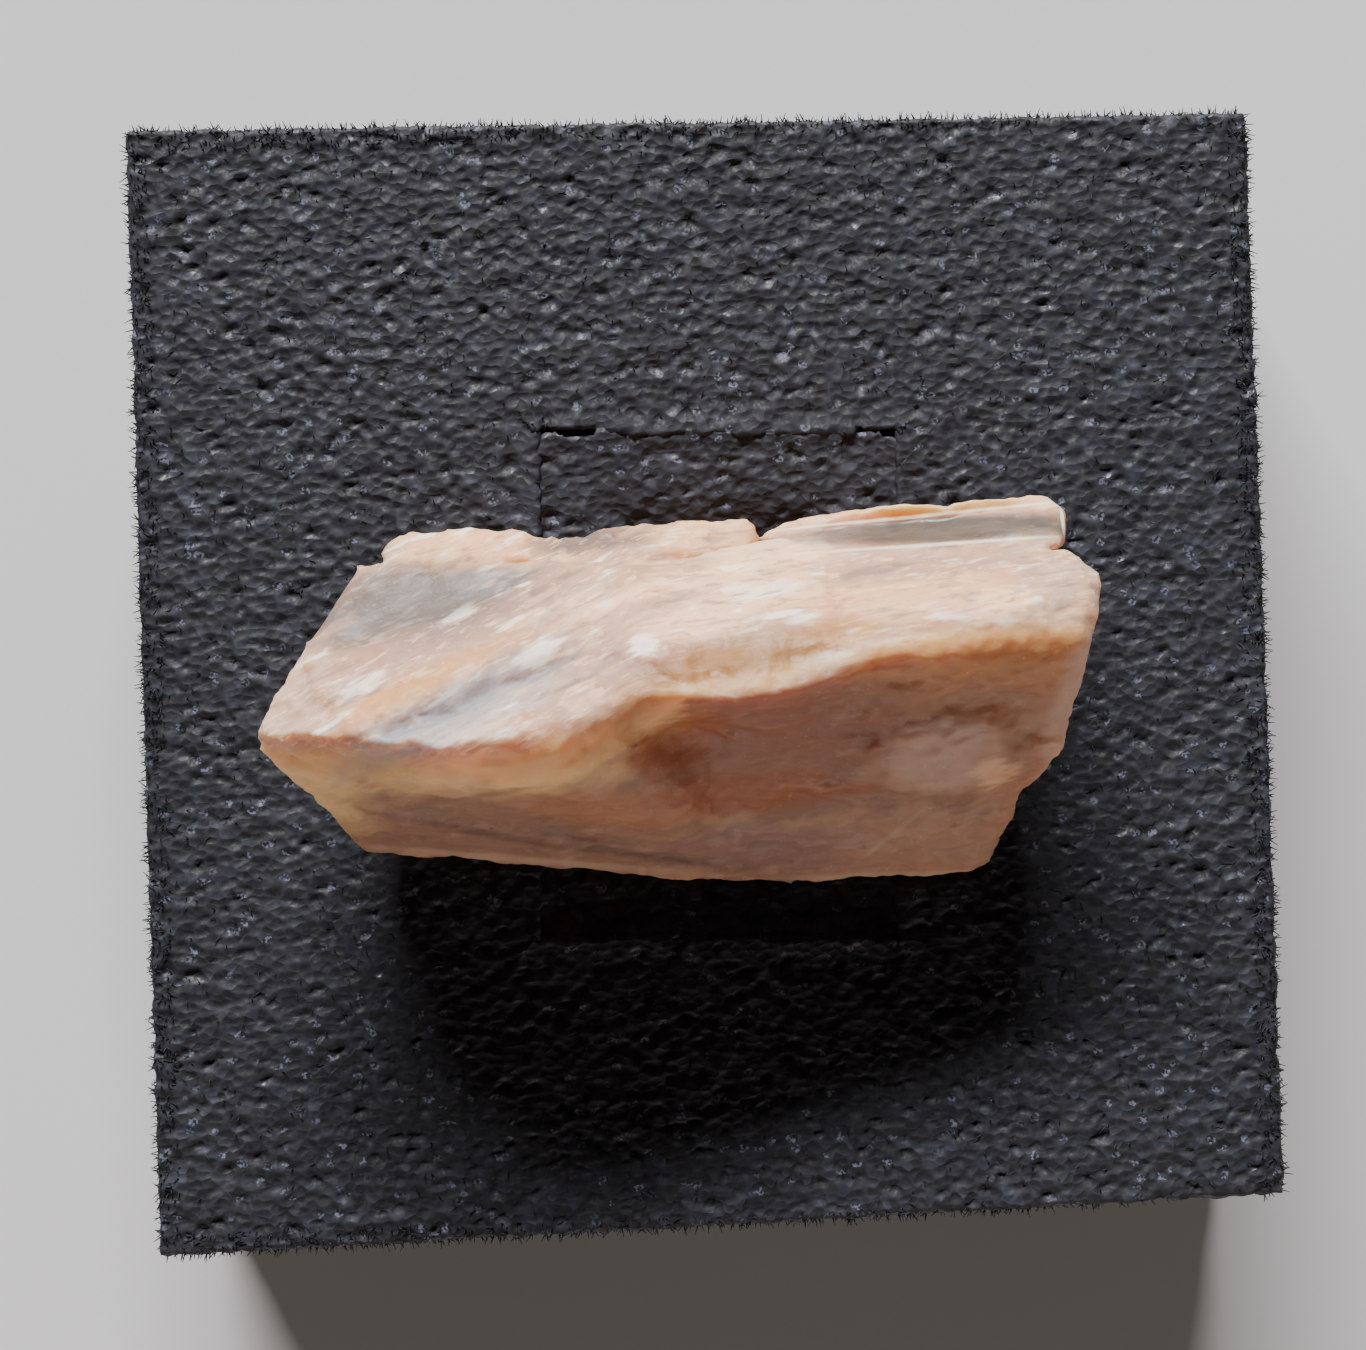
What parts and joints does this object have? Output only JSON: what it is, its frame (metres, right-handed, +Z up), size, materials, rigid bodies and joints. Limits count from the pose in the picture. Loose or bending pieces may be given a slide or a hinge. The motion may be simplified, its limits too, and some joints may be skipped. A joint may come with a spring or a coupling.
{
  "type": "moonstone specimen",
  "caption": "Rough cleaved moonstone, peach with a brown core, pressed into a die-cut pocket in a square block of charcoal foam.",
  "frame": {"origin": "middle of the foam block's underside", "axes": "+Z up out of the foam, +X along the stone's length towards its blunt end, +Y towards the stone's thin cleaved leaves"},
  "size_m": [0.0404, 0.0404, 0.0242],
  "materials": {
    "moonstone": "satin",
    "foam": "matte"
  },
  "bodies": {
    "root": {"moonstone": "moonstone", "foam_block": "foam", "foam_plug": "foam"}
  },
  "joints": []
}
